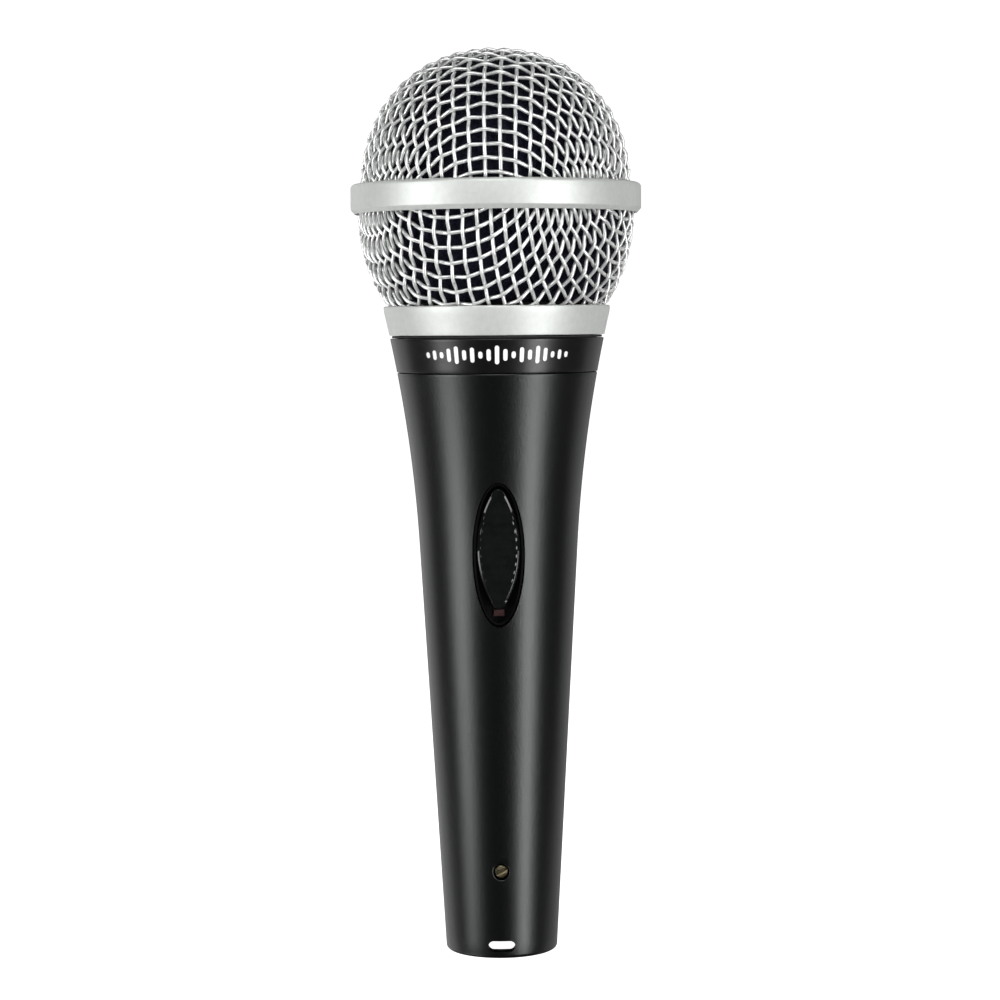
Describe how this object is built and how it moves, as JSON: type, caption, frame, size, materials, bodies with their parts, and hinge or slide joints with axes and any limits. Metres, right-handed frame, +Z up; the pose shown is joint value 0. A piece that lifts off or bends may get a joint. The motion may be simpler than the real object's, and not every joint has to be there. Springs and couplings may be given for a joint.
{
  "type": "dynamic microphone",
  "caption": "Handheld dynamic vocal microphone with a woven wire ball grille, silver waist ring and collar, dark tapered handle, sliding switch and an open connector socket.",
  "frame": {"origin": "centre of the open connector end, on the surface the microphone stands on", "axes": "+Z up the handle's axis towards the ball grille, -Y towards the side with the switch"},
  "size_m": [0.056, 0.056, 0.1748],
  "materials": {
    "handle_paint": "satin",
    "band_gloss": "gloss",
    "satin_silver": "satin",
    "mesh_wire": "satin",
    "foam": "matte",
    "black_plastic": "satin",
    "slider_plastic": "satin",
    "red_mark": "satin",
    "rubber": "matte",
    "brass": "satin",
    "steel": "satin",
    "magnet": "satin",
    "film": "gloss",
    "copper": "satin",
    "cloth": "matte",
    "board": "satin",
    "lead_red": "satin",
    "lead_white": "satin",
    "lead_black": "satin"
  },
  "bodies": {
    "handle": {"handle_shell": "handle_paint", "name_band": "band_gloss", "switch_bezel": "black_plastic", "connector_insert": "black_plastic", "capsule_body": "black_plastic", "rear_chamber": "black_plastic", "on_mark": "red_mark", "shock_mount": "rubber", "diaphragm_ring": "brass", "capsule_terminal_1": "brass", "capsule_terminal_2": "brass", "insert_screw": "brass", "ground_lug": "brass", "front_cap": "steel", "pole_piece": "steel", "magnet_yoke": "steel", "switch_body": "steel", "switch_board_screw_1": "steel", "switch_board_screw_2": "steel", "connector_pin_1": "steel", "connector_pin_2": "steel", "connector_pin_3": "steel", "magnet": "magnet", "felt_disc": "cloth", "rear_port_cloth": "cloth", "terminal_board": "board", "switch_board": "board", "capsule_lead_1": "lead_red", "output_lead_1": "lead_red", "capsule_lead_2": "lead_white", "output_lead_2": "lead_white", "ground_lead": "lead_black"},
    "switch_slider": {"switch_slider": "slider_plastic", "switch_actuator": "black_plastic"},
    "grille_washer": {"grille_washer": "rubber"},
    "grille_head": {"grille_collar": "satin_silver", "lower_mesh": "mesh_wire", "waist_ring": "satin_silver", "upper_mesh": "mesh_wire", "foam_cap": "foam", "foam_skirt": "foam"},
    "moving_coil": {"diaphragm": "film", "voice_coil": "copper"}
  },
  "joints": [
    {"name": "switch_slide", "type": "slide", "parent": "handle", "child": "switch_slider", "axis": [0, -0.068, 0.9977], "range_m": [-0.0025, 0]},
    {"name": "grille_lift", "type": "slide", "parent": "handle", "child": "grille_washer", "axis": [0, 0, 1], "range_m": [0, 0.00451]},
    {"name": "grille_unscrew", "type": "hinge", "parent": "grille_washer", "child": "grille_head", "pos_m": [0, 0, 0.122], "axis": [0, 0, 1], "range_deg": [0, 1080]},
    {"name": "coil_travel", "type": "slide", "parent": "handle", "child": "moving_coil", "axis": [0, 0, 1], "range_m": [-0.00025, 0.00025], "stiffness_N_per_m": 300}
  ],
  "couplings": [
    {"joint": "grille_lift", "follows": "grille_unscrew", "m_per_rad": 0.00023873}
  ]
}
